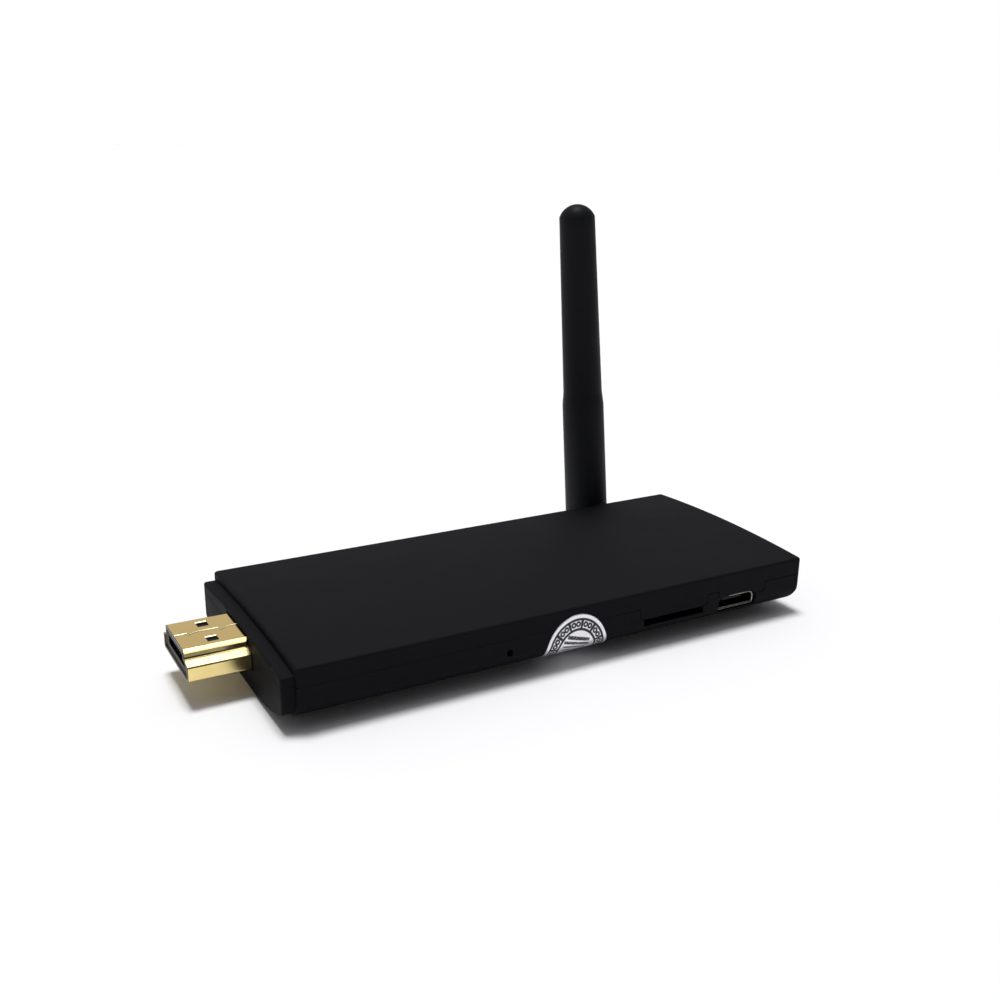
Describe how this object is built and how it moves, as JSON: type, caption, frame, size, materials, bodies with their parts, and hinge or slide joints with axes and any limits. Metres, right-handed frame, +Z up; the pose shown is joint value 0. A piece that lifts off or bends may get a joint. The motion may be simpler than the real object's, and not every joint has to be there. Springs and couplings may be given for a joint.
{
  "type": "streaming stick",
  "caption": "Small black media stick with a metal video plug at one end, ports in one long side and a fold-down whip antenna on the other.",
  "frame": {"origin": "middle of the flat keel under the case, on the surface the stick rests on", "axes": "+X from the video plug to the rear end, +Y to the side with the antenna, +Z up"},
  "size_m": [0.1041, 0.05, 0.0674],
  "materials": {
    "housing_black": "soft-touch matte black moulded plastic",
    "antenna_black": "satin black moulded plastic",
    "gold_plate": "gold-plated folded sheet",
    "nickel_plate": "nickel-plated folded sheet",
    "core_black": "moulded insulator",
    "contact_gold": "gold-plated contact",
    "board_green": "glass-epoxy board with green solder mask",
    "screw_steel": "zinc-plated steel",
    "chip_black": "epoxy chip package",
    "pad_grey": "silicone heat pad",
    "sink_aluminium": "milled and anodised",
    "can_steel": "drawn screening can",
    "ceramic_tan": "ceramic with metallised ends",
    "coil_grey": "ferrite",
    "seal_silver": "thin printed foil seal",
    "switch_black": "moulded switch body",
    "plunger_white": "moulded plunger",
    "pin_brass": "turned brass",
    "clip_steel": "spring steel",
    "washer_nylon": "nylon",
    "lead_grey": "thin coaxial cable with fluoropolymer jacket"
  },
  "bodies": {
    "case": {"top_shell": "housing_black", "bottom_shell": "housing_black", "seal_label": "seal_silver", "main_board": "board_green", "board_screws": "screw_steel", "plug_shell": "gold_plate", "plug_core": "core_black", "plug_contacts": "contact_gold", "power_shell": "nickel_plate", "power_core": "core_black", "power_contacts": "contact_gold", "card_cover": "nickel_plate", "card_base": "core_black", "card_contacts": "contact_gold", "host_shell": "nickel_plate", "host_core": "core_black", "host_contacts": "contact_gold", "reset_switch": "switch_black", "processor": "chip_black", "thermal_pad": "pad_grey", "heat_sink": "sink_aluminium", "memory_chips": "chip_black", "flash_chip": "chip_black", "power_chip": "chip_black", "wireless_module": "can_steel", "crystal": "can_steel", "inductors": "coil_grey", "capacitors": "ceramic_tan", "hinge_washer": "washer_nylon", "antenna_lead": "lead_grey", "antenna_jack": "contact_gold", "antenna_plug": "contact_gold"},
    "antenna": {"antenna_base": "antenna_black", "antenna_cover": "antenna_black", "antenna_core": "pin_brass", "hinge_pin": "pin_brass", "hinge_clip": "clip_steel"},
    "plunger": {"reset_plunger": "plunger_white"}
  },
  "joints": [
    {"name": "antenna_fold", "type": "hinge", "parent": "case", "child": "antenna", "pos_m": [0.03155, 0.0203, 0.0053], "axis": [0, -1, 0], "range_deg": [-94.6, 85.4]},
    {"name": "reset_press", "type": "slide", "parent": "case", "child": "plunger", "axis": [0, 1, 0], "range_m": [0, 0.00025], "stiffness_N_per_m": 3000}
  ]
}
